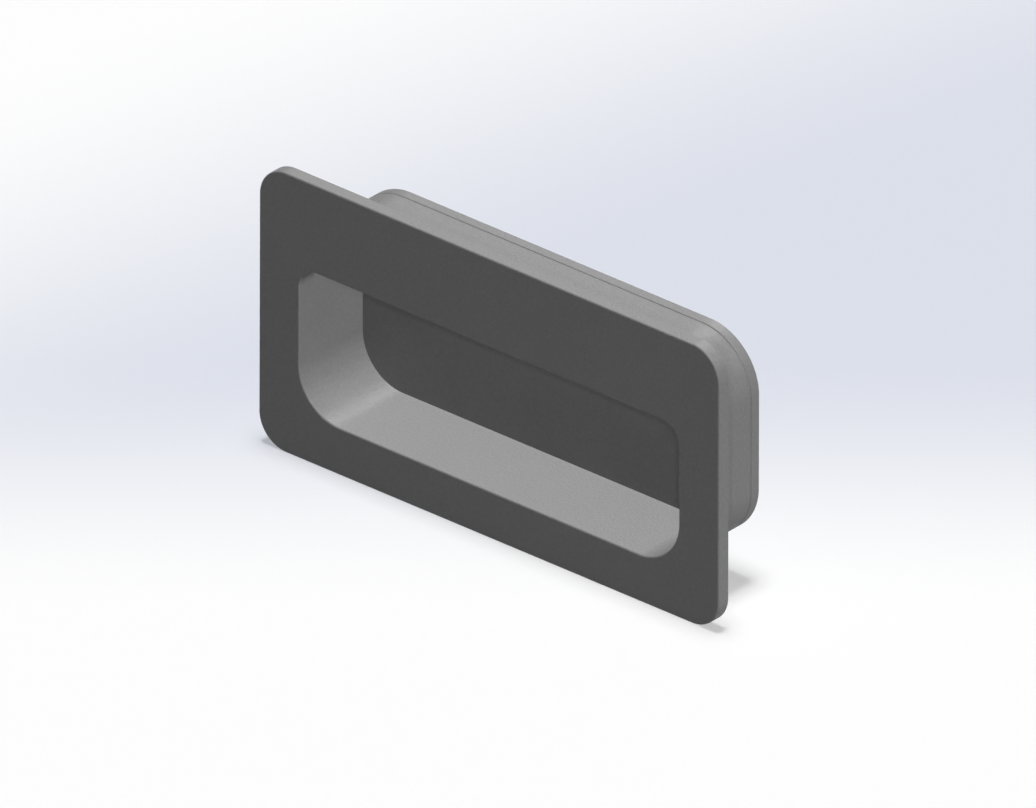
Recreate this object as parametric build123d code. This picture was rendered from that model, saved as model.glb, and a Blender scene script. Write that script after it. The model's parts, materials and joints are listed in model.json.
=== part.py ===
from build123d import *
import os

# Recessed pull handle, in millimetres. +Z is up and the front faces -Y.
# The origin is the middle of the panel cut-out, in the panel's front surface, where the flange's back face sits.

# Flange, the frame that covers the edge of the panel cut-out
flange_width = 103.0
flange_height = 54.0
flange_thickness = 2.5
flange_corner_radius = 6.0

# Finger pocket, measured inside its walls
pocket_width = 85.0
pocket_height = 36.0
pocket_depth = 16.5  # from the flange's front face to the back plate
pocket_corner_radius = 9.0
wall_thickness = 2.0

# Finger lip, the part of the flange that hangs down over the top of the pocket
lip_drop = 8.0
lip_corner_radius = 4.0
lip_root_radius = 2.0  # hollow rounding between the lip's back face and the pocket's wall

# Back plate, which closes the pocket from behind
back_plate_thickness = 2.2

# Edges as they leave the mould
touch_edge_radius = 0.3  # outer edges at the front and back, and the mouth of the pocket
seam_edge_radius = 0.25  # outside edges of the two faces that are bonded together

# Places along Y, from the front face to the back
front_y = -flange_thickness
seat_y = 0.0
seam_y = front_y + pocket_depth
back_y = seam_y + back_plate_thickness

# Outside of the pocket's walls, which the back plate matches
walls_width = pocket_width + 2 * wall_thickness
walls_height = pocket_height + 2 * wall_thickness
walls_corner_radius = pocket_corner_radius + wall_thickness

# Opening in the flange, level with the pocket's floor and sides and closed at the top by the lip
opening_height = pocket_height - lip_drop
opening_middle_z = -lip_drop / 2


def prism(outline, y_near, y_far):
    """Carry an upright outline, drawn in X and Z, straight back from y_near to y_far."""
    drawing_plane = Plane(origin=(0, y_far, 0), x_dir=(1, 0, 0), z_dir=(0, -1, 0))
    return extrude(drawing_plane * outline, amount=y_far - y_near)


def edges_at(solid, y):
    """Return the edges of a solid that lie wholly in the upright plane at y."""
    return solid.edges().filter_by_position(Axis.Y, y, y)


def opening_outline():
    """Draw the opening: the pocket's radius at its lower corners and the lip's at its upper ones."""
    outline = Rectangle(pocket_width, opening_height)
    lower_corners = outline.vertices().sort_by(Axis.Y)[:2]
    outline = fillet(lower_corners, pocket_corner_radius)
    upper_corners = outline.vertices().sort_by(Axis.Y)[-2:]
    outline = fillet(upper_corners, lip_corner_radius)
    return Pos(0, opening_middle_z) * outline


def handle_body():
    """Make the one-piece moulding: flange, pocket walls and finger lip."""
    flange_outline = RectangleRounded(flange_width, flange_height, flange_corner_radius)
    flange = prism(flange_outline, front_y, seat_y)
    flange = fillet(edges_at(flange, front_y), touch_edge_radius)

    walls_outline = RectangleRounded(walls_width, walls_height, walls_corner_radius)
    walls = prism(walls_outline, seat_y, seam_y)
    walls = fillet(edges_at(walls, seam_y), seam_edge_radius)

    # The rear core of the mould fills the pocket up to the lip, and its rounded nose leaves the lip's hollow root.
    pocket_outline = RectangleRounded(pocket_width, pocket_height, pocket_corner_radius)
    rear_core = prism(pocket_outline, seat_y, seam_y)
    rear_core = fillet(edges_at(rear_core, seat_y), lip_root_radius)

    # The front core reaches through the opening, so the pocket's floor and sides run straight out to the front.
    front_core = prism(opening_outline(), front_y, seam_y)

    body = flange + walls - rear_core - front_core
    mouth_edges = body.faces().sort_by(Axis.Y)[0].inner_wires()[0].edges()
    return fillet(mouth_edges, touch_edge_radius)


def back_plate():
    """Make the flat plate that is bonded flush to the back rim of the pocket's walls."""
    outline = RectangleRounded(walls_width, walls_height, walls_corner_radius)
    plate = prism(outline, seam_y, back_y)
    plate = fillet(edges_at(plate, back_y), touch_edge_radius)
    return fillet(edges_at(plate, seam_y), seam_edge_radius)


os.makedirs("parts", exist_ok=True)
export_step(handle_body(), "parts/handle_body.step")
export_step(back_plate(), "parts/back_plate.step")
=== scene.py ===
import json
import math

import bmesh
import bpy
import numpy as np
from mathutils import Matrix, Vector


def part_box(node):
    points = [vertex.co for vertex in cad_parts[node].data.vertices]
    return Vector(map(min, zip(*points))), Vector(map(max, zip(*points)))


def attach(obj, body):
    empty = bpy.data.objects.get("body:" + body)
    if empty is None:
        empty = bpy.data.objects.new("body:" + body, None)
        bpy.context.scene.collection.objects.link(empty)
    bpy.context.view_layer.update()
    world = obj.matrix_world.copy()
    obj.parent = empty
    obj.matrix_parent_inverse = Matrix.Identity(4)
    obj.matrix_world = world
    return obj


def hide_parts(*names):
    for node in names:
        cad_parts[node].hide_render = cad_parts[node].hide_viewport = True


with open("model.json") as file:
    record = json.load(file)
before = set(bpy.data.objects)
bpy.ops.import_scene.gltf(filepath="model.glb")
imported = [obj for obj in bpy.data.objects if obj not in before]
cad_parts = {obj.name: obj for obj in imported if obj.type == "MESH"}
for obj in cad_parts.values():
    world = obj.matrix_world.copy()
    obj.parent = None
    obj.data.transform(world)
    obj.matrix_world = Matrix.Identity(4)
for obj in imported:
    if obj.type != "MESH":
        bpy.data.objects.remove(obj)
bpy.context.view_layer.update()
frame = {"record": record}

# Handle body
# One moulding in dark grey matt plastic: the flange, the finger pocket's four walls, and the lip that hangs
# over the top of the pocket. The front half of the mould makes the face, and a core from behind makes the
# pocket and the hollow behind the lip.
body_low, body_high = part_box("handle_body")
plate_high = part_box("back_plate")[1]
FRONT_Y = body_low[1]
SEAT_Y = 0.0  # the flange's back face, which lies on the panel
SEAM_Y = body_high[1]
FLANGE_CORNER = 0.006
WALL = 0.002
POCKET_CORNER = 0.009
LIP_DROP = 0.008  # how far the lip hangs down over the pocket
LIP_CORNER = 0.004
LIP_ROOT = 0.002  # radius of the hollow in which the lip's back face meets the pocket's walls
TOUCH_EDGE = 0.0003  # radius of the edges at the front, at the pocket's mouth and round the plate's back
SEAM_EDGE = 0.00025  # radius of the edges at the seam between the walls and the plate
SUPPORT = 0.00012  # width of the flat band beside each rounded edge, which keeps the face's shading flat

# The back plate is as wide and as high as the walls are outside.
POCKET_HALF_WIDTH = plate_high[0] - WALL
POCKET_HALF_HEIGHT = plate_high[2] - WALL
OPENING_HALF_HEIGHT = POCKET_HALF_HEIGHT - LIP_DROP / 2
OPENING_MIDDLE_Z = -LIP_DROP / 2

CORNER_STEPS = 36
LONG_SIDE_STEPS = 40
SHORT_SIDE_STEPS = 16
EDGE_STEPS = 6


def between(start, end, share):
    """Return the place that lies at a share of the way from start to end."""
    return start * (1 - share) + end * share


def corner(radius, lead):
    """Return the points and outward directions of a rounded corner, about the centre of its arc.

    The path climbs a straight lead of the given length and then turns through a quarter circle: at a distance
    d along it the turn is (d - lead) / radius, the direction is (cos turn, sin turn), and the point is the
    radius times the direction, lowered by what is left of the lead."""
    distance = np.linspace(0.0, lead + radius * math.pi / 2, CORNER_STEPS + 1)
    turn = np.clip(distance - lead, 0.0, None) / radius
    outward = np.stack([np.cos(turn), np.sin(turn)], axis=1)
    point = radius * outward
    point[:, 1] -= np.clip(lead - distance, 0.0, None)
    return point, outward


def outline(half_width, half_height, upper_radius, lower_radius, middle_z=0.0, upper_lead=0.0):
    """Return the points and outward directions round a rounded rectangle in X and Z.

    They run anticlockwise as seen from the front. The same corner is mirrored to all four places, and the
    straight sides between them are evenly divided, so that a given place in the list is at the same corner or
    side of every outline."""
    corners = []
    for side, level in ((1, 1), (-1, 1), (-1, -1), (1, -1)):
        radius = upper_radius if level > 0 else lower_radius
        point, outward = corner(radius, upper_lead if level > 0 else 0.0)
        mirror = np.array([side, level])
        middle = np.array([side * (half_width - radius), middle_z + level * (half_height - radius)])
        order = slice(None, None, side * level)
        corners.append(((middle + mirror * point)[order], (mirror * outward)[order]))
    points, outwards = [], []
    for place, steps in enumerate((LONG_SIDE_STEPS, SHORT_SIDE_STEPS, LONG_SIDE_STEPS, SHORT_SIDE_STEPS)):
        point, outward = corners[place]
        next_point = corners[(place + 1) % len(corners)][0][0]
        share = np.linspace(0.0, 1.0, steps + 1)[1:-1, None]
        points += [point, between(point[-1], next_point, share)]
        outwards += [outward, np.repeat(outward[-1:], steps - 1, axis=0)]
    return np.concatenate(points), np.concatenate(outwards)


def row(points, y):
    """Place the points of an outline at a depth y, which is one number or one for each point."""
    return np.stack([points[:, 0], np.broadcast_to(y, len(points)), points[:, 1]], axis=1)


def round_edge(points, outward, y_wall, y_face, radius):
    """Round the edge between a wall and a face: a quarter circle carried round the outline.

    At an angle a, the row lies radius * (1 - cos a) inside the wall and radius * (1 - sin a) short of the
    face."""
    towards = math.copysign(radius, y_face - y_wall)
    rows = []
    for angle in np.linspace(0.0, math.pi / 2, EDGE_STEPS + 1):
        inward = radius * (1 - math.cos(angle))
        rows.append(row(points - outward * inward, y_face - towards * (1 - math.sin(angle))))
    return rows


def shell(name, rows, closed):
    """Make a mesh of rows of points. Quads join each row to the next, and the last to the first if closed."""
    rows = np.array(rows)
    count, around = rows.shape[:2]
    down = np.arange(count if closed else count - 1)[:, None]
    across = np.arange(around)[None, :]
    below = (down + 1) % count
    beside = (across + 1) % around
    ring, next_ring = down * around, below * around
    quads = np.stack([ring + across, ring + beside, next_ring + beside, next_ring + across], axis=2)
    mesh = bpy.data.meshes.new(name)
    mesh.from_pydata(rows.reshape(-1, 3), [], quads.reshape(-1, 4))
    piece = bpy.data.objects.new(name, mesh)
    bpy.context.scene.collection.objects.link(piece)
    return piece


flange_points, flange_outward = outline(body_high[0], body_high[2], FLANGE_CORNER, FLANGE_CORNER)
opening_points, opening_outward = outline(
    POCKET_HALF_WIDTH, OPENING_HALF_HEIGHT, LIP_CORNER, POCKET_CORNER, OPENING_MIDDLE_Z
)
opening_corner_z = OPENING_MIDDLE_Z + OPENING_HALF_HEIGHT - LIP_CORNER
pocket_points, pocket_outward = outline(
    POCKET_HALF_WIDTH,
    POCKET_HALF_HEIGHT,
    POCKET_CORNER,
    POCKET_CORNER,
    upper_lead=POCKET_HALF_HEIGHT - POCKET_CORNER - opening_corner_z,
)
walls_points = pocket_points + WALL * pocket_outward

LIP_STEPS = 28
ROOT_WALL = 0.001  # length of wall, past the hollow, that the lip's rows still cover
SMALLEST_INSET = 1e-9  # stands for an inset of zero in a division


def inset(points):
    """Return how far points lie inside the pocket's outline, a rounded rectangle.

    It is the radius less the distance to the rectangle that the arcs' centres make."""
    centres = np.array([POCKET_HALF_WIDTH - POCKET_CORNER, POCKET_HALF_HEIGHT - POCKET_CORNER])
    past = np.abs(points) - centres
    distance = np.hypot(*np.clip(past, 0.0, None).T) + np.minimum(past.max(axis=1), 0.0)
    return np.clip(POCKET_CORNER - distance, 0.0, None)


def lip_depth(points):
    """Return the depth of the lip's back face: flat, but curving back as a quarter circle at its root."""
    left = np.clip(LIP_ROOT - inset(points), 0.0, None)
    return SEAT_Y + LIP_ROOT - np.sqrt(LIP_ROOT**2 - left**2)


def lip_rows():
    """Carry the surface from the opening's rear edge over the lip's back, round its root and on to the wall.

    The way is measured along its length: first the flat, then the hollow, whose inset is the root's radius
    times (1 - sin angle), then the wall. Below the lip, where the opening and the pocket are level, all of it
    is wall."""
    start = inset(opening_points)
    start_angle = np.arcsin(np.clip(1 - start / LIP_ROOT, 0.0, 1.0))
    flat = np.clip(start - LIP_ROOT, 0.0, None)
    hollow = LIP_ROOT * (math.pi / 2 - start_angle)
    rows = []
    for share in np.linspace(0.0, 1.0, LIP_STEPS + 1)[1:]:
        distance = share * (flat + hollow + ROOT_WALL)
        angle = start_angle + np.clip(distance - flat, 0.0, hollow) / LIP_ROOT
        left = np.where(distance < flat, start - distance, LIP_ROOT * (1 - np.sin(angle)))
        done = np.where(start > 0, 1 - left / np.maximum(start, SMALLEST_INSET), 1.0)[:, None]
        points = between(opening_points, pocket_points, done)
        on_wall = np.clip(distance - flat - hollow, 0.0, None)
        depth = np.where(on_wall > 0, SEAT_Y + LIP_ROOT + on_wall, lip_depth(points))
        rows.append(row(points, depth))
    return rows


# The rows run from the flange's back over its rim and face, in at the pocket's mouth, over the lip's back and
# along the pocket's walls to the seam, and return along the outside of the walls.
MOUTH_SHARES = (0.05, 0.3, 0.6, 0.85, 1.0)
POCKET_SHARES = (0.33, 0.67, 1.0)
rounded_y = FRONT_Y + TOUCH_EDGE
opening_end_y = lip_depth(opening_points)
lip_end_y = SEAT_Y + LIP_ROOT + ROOT_WALL
body_rows = [row(flange_points, SEAT_Y), row(flange_points, rounded_y + SUPPORT)]
body_rows += round_edge(flange_points, flange_outward, SEAT_Y, FRONT_Y, TOUCH_EDGE)
body_rows += [row(flange_points - flange_outward * (TOUCH_EDGE + SUPPORT), FRONT_Y)]
body_rows += [row(opening_points + opening_outward * (TOUCH_EDGE + SUPPORT), FRONT_Y)]
body_rows += round_edge(opening_points, -opening_outward, SEAT_Y, FRONT_Y, TOUCH_EDGE)[::-1]
body_rows += [row(opening_points, between(rounded_y, opening_end_y, share)) for share in MOUTH_SHARES]
body_rows += lip_rows()
body_rows += [row(pocket_points, between(lip_end_y, SEAM_Y, share)) for share in POCKET_SHARES]
body_rows += [row(walls_points - pocket_outward * (SEAM_EDGE + SUPPORT), SEAM_Y)]
body_rows += round_edge(walls_points, pocket_outward, SEAT_Y, SEAM_Y, SEAM_EDGE)[::-1]
body_rows += [row(walls_points, SEAM_Y - SEAM_EDGE - SUPPORT), row(walls_points, SEAT_Y)]
handle_body = shell("moulded_handle_body", body_rows, closed=True)

MERGE_DISTANCE = 1e-7
SHARP_ANGLE = math.radians(32)


def finish_shading(piece):
    """Merge doubled points, turn the faces outwards, shade the curves smooth and keep true edges sharp."""
    work = bmesh.new()
    work.from_mesh(piece.data)
    bmesh.ops.remove_doubles(work, verts=work.verts, dist=MERGE_DISTANCE)
    bmesh.ops.recalc_face_normals(work, faces=work.faces)
    if work.calc_volume(signed=True) < 0:
        bmesh.ops.reverse_faces(work, faces=work.faces)
    work.to_mesh(piece.data)
    work.free()
    piece.data.shade_smooth()
    piece.data.set_sharp_from_angle(angle=SHARP_ANGLE)


finish_shading(handle_body)

FINE_GRAIN = 0.00024
COARSE_GRAIN = 0.00060
GRAIN_DEPTH = 0.00005
FLOW_PATCH = 0.012
NOISE_DETAIL = 2.0
FLOW_RANGE = (0.3, 0.7)  # where most of one noise's values lie
GRAIN_RANGE = (0.7, 1.3)  # where most of them lie for two noises added up
SHADE_WANDER = 0.03
# how much darker the grain's pits are painted: painted shade, not the plastic's own colour
PAINTED_PIT_SHADE = 0.07
ROUGHNESS_WANDER = 0.03
SPECULAR_LEVEL = 0.30
BODY_ROUGHNESS = 0.52


def node(tree, kind, inputs, **settings):
    """Add a node with its settings, and give each named input a value or the output of another node."""
    made = tree.nodes.new(kind)
    for setting, value in settings.items():
        setattr(made, setting, value)
    for place, value in inputs.items():
        if isinstance(value, bpy.types.NodeSocket):
            tree.links.new(value, made.inputs[place])
        else:
            made.inputs[place].default_value = value
    return made


def reckon(tree, operation, *values):
    """Return the result of one operation on numbers or the outputs of other nodes."""
    return node(tree, "ShaderNodeMath", dict(enumerate(values)), operation=operation).outputs[0]


def rescale(tree, value, source, target, **settings):
    """Return a value carried from its source range to a target range, and held at that range's ends."""
    ends = {"From Min": source[0], "From Max": source[1], "To Min": target[0], "To Max": target[1]}
    return node(tree, "ShaderNodeMapRange", {"Value": value, **ends}, **settings).outputs[0]


def moulded_plastic(name, colour, roughness):
    """Return a dark plastic with the fine grain that a spark-eroded mould leaves.

    The grain is a height of two noises added up, one of a quarter and one of three fifths of a millimetre,
    and its pits are painted a little darker than its peaks, as painted shade. The colour and the roughness
    also wander by a few hundredths, in patches of about a centimetre, as the melt flows."""
    material = bpy.data.materials.new(name)
    material.use_nodes = True
    tree = material.node_tree
    place = node(tree, "ShaderNodeTexCoord", {}).outputs["Object"]
    noises = []
    for size in (FINE_GRAIN, COARSE_GRAIN, FLOW_PATCH):
        scale = {"Vector": place, "Scale": 1 / size, "Detail": NOISE_DETAIL}
        noises.append(node(tree, "ShaderNodeTexNoise", scale).outputs[0])
    fine, coarse, flow = noises
    height = reckon(tree, "ADD", fine, coarse)
    bump = node(tree, "ShaderNodeBump", {"Height": height, "Distance": GRAIN_DEPTH}).outputs[0]
    wander = rescale(tree, flow, FLOW_RANGE, (1 - SHADE_WANDER, 1 + SHADE_WANDER))
    # painted shade: the grain's pits are painted darker than its peaks
    painted_pit_shade = rescale(tree, height, GRAIN_RANGE, (1 - PAINTED_PIT_SHADE, 1 + PAINTED_PIT_SHADE))
    shade = reckon(tree, "MULTIPLY", wander, painted_pit_shade)
    tint = node(tree, "ShaderNodeVectorMath", {0: colour, "Scale": shade}, operation="SCALE").outputs[0]
    gloss = rescale(tree, flow, FLOW_RANGE, (roughness - ROUGHNESS_WANDER, roughness + ROUGHNESS_WANDER))
    shader = tree.nodes["Principled BSDF"]
    tree.links.new(tint, shader.inputs["Base Color"])
    tree.links.new(gloss, shader.inputs["Roughness"])
    tree.links.new(bump, shader.inputs["Normal"])
    shader.inputs["Specular IOR Level"].default_value = SPECULAR_LEVEL
    return material


slot_colours = {entry["slot"]: entry["base_color"] for entry in frame["record"]["materials"]}
body_plastic = moulded_plastic("dark grey moulded plastic", slot_colours["handle_body"], BODY_ROUGHNESS)
handle_body.data.materials.append(body_plastic)
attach(handle_body, "root")
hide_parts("handle_body")

# Back plate
# A flat plate of the same plastic, with rounded corners, that closes the pocket from behind. It is moulded by
# itself and bonded flush to the back rim of the walls. Small rounded edges on both make the seam's groove.
BACK_Y = plate_high[1]
PLATE_CORNER = POCKET_CORNER + WALL
PLATE_ROUGHNESS = 0.50
CAP_STEPS = 6
plate_points, plate_outward = outline(plate_high[0], plate_high[2], PLATE_CORNER, PLATE_CORNER)


def cap_rows(points, y):
    """Fill a face with rows that close on its middle line, from there out to the given points."""
    reach = plate_high[0] - plate_high[2]
    middle = np.stack([np.clip(points[:, 0], -reach, reach), np.zeros(len(points))], axis=1)
    return [row(between(middle, points, share), y) for share in np.linspace(0.0, 1.0, CAP_STEPS + 1)]


plate_rows = cap_rows(plate_points - plate_outward * (SEAM_EDGE + SUPPORT), SEAM_Y)
plate_rows += round_edge(plate_points, plate_outward, BACK_Y, SEAM_Y, SEAM_EDGE)[::-1]
plate_rows += [row(plate_points, y) for y in (SEAM_Y + SEAM_EDGE + SUPPORT, BACK_Y - TOUCH_EDGE - SUPPORT)]
plate_rows += round_edge(plate_points, plate_outward, SEAM_Y, BACK_Y, TOUCH_EDGE)
plate_rows += cap_rows(plate_points - plate_outward * (TOUCH_EDGE + SUPPORT), BACK_Y)[::-1]
back_plate = shell("bonded_back_plate", plate_rows, closed=False)
finish_shading(back_plate)
plate_plastic = moulded_plastic("dark grey plate plastic", slot_colours["back_plate"], PLATE_ROUGHNESS)
back_plate.data.materials.append(plate_plastic)
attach(back_plate, "root")
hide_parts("back_plate")

# Floor
# A plain matt floor under the flange's lower edge, white in front and shading into a pale blue grey behind.
# Two lamps shine on it alone: one lays the handle's soft shadow, and the other only brightens it.
FLOOR_Z = body_low[2]
FLOOR_HALF = 3.0
WHITE = (0.985, 0.985, 0.985, 1.0)
HAZE = (0.712, 0.740, 0.822, 1.0)
BOUNCE = (0.1, 0.1, 0.1, 1.0)  # the floor's colour for the light that it throws on the handle
HAZE_START = (-0.026, 0.065)  # distances behind the handle over which the haze comes in
HAZE_END = (0.079, 0.227)  # distances along the slant over which it goes out again
HAZE_SLANT = -0.76  # on the slant, a metre to the right counts as this many metres back
VIEW_AZIMUTH = math.radians(40.764)

floor_mesh = bpy.data.meshes.new("floor")
floor_corners = [(-1, -1), (1, -1), (1, 1), (-1, 1)]
floor_points = [(x * FLOOR_HALF, y * FLOOR_HALF, FLOOR_Z) for x, y in floor_corners]
floor_mesh.from_pydata(floor_points, [], [(0, 1, 2, 3)])
floor = bpy.data.objects.new("floor", floor_mesh)
bpy.context.scene.collection.objects.link(floor)

COLOUR_A, COLOUR_B, COLOUR_RESULT = 6, 7, 2  # places of a mix node's colours among its inputs and outputs


def mix(tree, share, first, second):
    """Return a colour that goes from the first to the second as the share goes from 0 to 1."""
    inputs = {"Factor": share, COLOUR_A: first, COLOUR_B: second}
    return node(tree, "ShaderNodeMix", inputs, data_type="RGBA").outputs[COLOUR_RESULT]


def seen_directly(tree):
    """Return 1 for a ray from the camera, or one reflected or let through on its way there, and 0 if not."""
    path = node(tree, "ShaderNodeLightPath", {}).outputs
    seen = reckon(tree, "MAXIMUM", path["Is Camera Ray"], path["Is Glossy Ray"])
    return reckon(tree, "MAXIMUM", seen, path["Is Transmission Ray"])


def distance_along(tree, place, way):
    """Return how far a place lies from the origin along a direction of length 1, as their dot product."""
    return node(tree, "ShaderNodeVectorMath", {0: place, 1: way}, operation="DOT_PRODUCT").outputs["Value"]


floor_paint = bpy.data.materials.new("pale floor")
floor_paint.use_nodes = True
tree = floor_paint.node_tree
behind_way = (-math.sin(VIEW_AZIMUTH), math.cos(VIEW_AZIMUTH), 0.0)
across_way = (math.cos(VIEW_AZIMUTH), math.sin(VIEW_AZIMUTH), 0.0)
place = node(tree, "ShaderNodeTexCoord", {}).outputs["Object"]
behind = distance_along(tree, place, behind_way)
across = distance_along(tree, place, across_way)
slant = reckon(tree, "MULTIPLY_ADD", across, HAZE_SLANT, behind)
rise = rescale(tree, behind, HAZE_START, (0.0, 1.0), interpolation_type="SMOOTHSTEP")
fall = rescale(tree, slant, HAZE_END, (1.0, 0.0), interpolation_type="SMOOTHSTEP")
hazy_white = mix(tree, reckon(tree, "MULTIPLY", rise, fall), WHITE, HAZE)
floor_colour = mix(tree, seen_directly(tree), BOUNCE, hazy_white)
matt = node(tree, "ShaderNodeBsdfDiffuse", {"Color": floor_colour})
tree.links.new(matt.outputs[0], tree.nodes["Material Output"].inputs["Surface"])
floor_mesh.materials.append(floor_paint)


def lit_group(name, pieces):
    """Return a group of pieces, for lights that shine on those alone."""
    group = bpy.data.collections.new(name)
    for piece in pieces:
        group.objects.link(piece)
    return group


def sun(name, azimuth, elevation, level, spread, shadow, group):
    """Add a distant light, whose azimuth runs from the front (0) to the right (90 degrees).

    At level 1, a matt surface that squarely faces it renders at its written colour."""
    lamp = bpy.data.lights.new(name, "SUN")
    lamp.energy = level * math.pi
    lamp.angle = math.radians(spread)
    lamp.use_shadow = shadow
    holder = bpy.data.objects.new(name, lamp)
    turn, rise = math.radians(azimuth), math.radians(elevation)
    towards = Vector((math.sin(turn) * math.cos(rise), -math.cos(turn) * math.cos(rise), math.sin(rise)))
    holder.rotation_euler = towards.to_track_quat("Z", "Y").to_euler()
    holder.light_linking.receiver_collection = group
    bpy.context.scene.collection.objects.link(holder)


floor_group = lit_group("floor alone", [floor])
sun("floor overhead light", azimuth=0, elevation=89.5, level=0.45, spread=12, shadow=True, group=floor_group)
sun("floor fill light", azimuth=0, elevation=90, level=0.50, spread=12, shadow=False, group=floor_group)

# Camera
# A parallel view from the front, the right and above, with a very slight turn of the picture. The sizes are
# those at which the handle has the photograph's place and scale.
VIEW_ELEVATION = math.radians(28.950)
VIEW_ROLL = math.radians(0.148)
FRAME_WIDTH = 1036  # pixels
PIXELS_PER_METRE = 5901.1
AIM_RIGHT = 0.003298  # from the origin to the middle of the picture, in the picture's own directions
AIM_UP = -0.001871
DISTANCE = 0.6

level_right = Vector(across_way)
to_camera = -math.cos(VIEW_ELEVATION) * Vector(behind_way) + math.sin(VIEW_ELEVATION) * Vector((0, 0, 1))
level_up = to_camera.cross(level_right)
right = math.cos(VIEW_ROLL) * level_right + math.sin(VIEW_ROLL) * level_up
up = -math.sin(VIEW_ROLL) * level_right + math.cos(VIEW_ROLL) * level_up
camera = bpy.data.objects.new("camera", bpy.data.cameras.new("camera"))
camera.data.type = "ORTHO"
camera.data.ortho_scale = FRAME_WIDTH / PIXELS_PER_METRE
standing = Matrix((right, up, to_camera)).transposed().to_4x4()
standing.translation = AIM_RIGHT * right + AIM_UP * up + DISTANCE * to_camera
camera.matrix_world = standing
bpy.context.scene.collection.objects.link(camera)
bpy.context.scene.camera = camera
bpy.context.scene.view_settings.view_transform = "Standard"

# Light
# Plain soft studio light on the handle: lamps high up at the right and left, a broad one overhead, and one
# high up behind, which lays a pale band along the rounded corners. Two weak narrow lamps near the viewer draw
# thin shadows beside the edges. The room is dim above, and white below the floor's level.
DIM_ROOM = (0.05, 0.05, 0.05, 1.0)
handle_group = lit_group("handle alone", [handle_body, back_plate])
sun("right light", azimuth=92, elevation=50, level=0.92, spread=5, shadow=False, group=handle_group)
sun("soft overhead light", azimuth=60, elevation=70, level=0.08, spread=40, shadow=True, group=handle_group)
sun("rear light", azimuth=205.8, elevation=42.6, level=0.61, spread=2, shadow=False, group=handle_group)
sun("left light", azimuth=270, elevation=50, level=0.20, spread=5, shadow=False, group=handle_group)
sun("high front light", azimuth=42.5, elevation=30.2, level=0.09, spread=1.5, shadow=True, group=handle_group)
sun("low front light", azimuth=37.5, elevation=26.3, level=0.165, spread=1.5, shadow=True, group=handle_group)

world = bpy.data.worlds.new("studio")
bpy.context.scene.world = world
world.use_nodes = True
tree = world.node_tree
direction = node(tree, "ShaderNodeTexCoord", {}).outputs["Generated"]
upward = node(tree, "ShaderNodeSeparateXYZ", {0: direction}).outputs["Z"]
room = mix(tree, reckon(tree, "GREATER_THAN", upward, 0.0), WHITE, DIM_ROOM)
tree.links.new(room, tree.nodes["Background"].inputs["Color"])
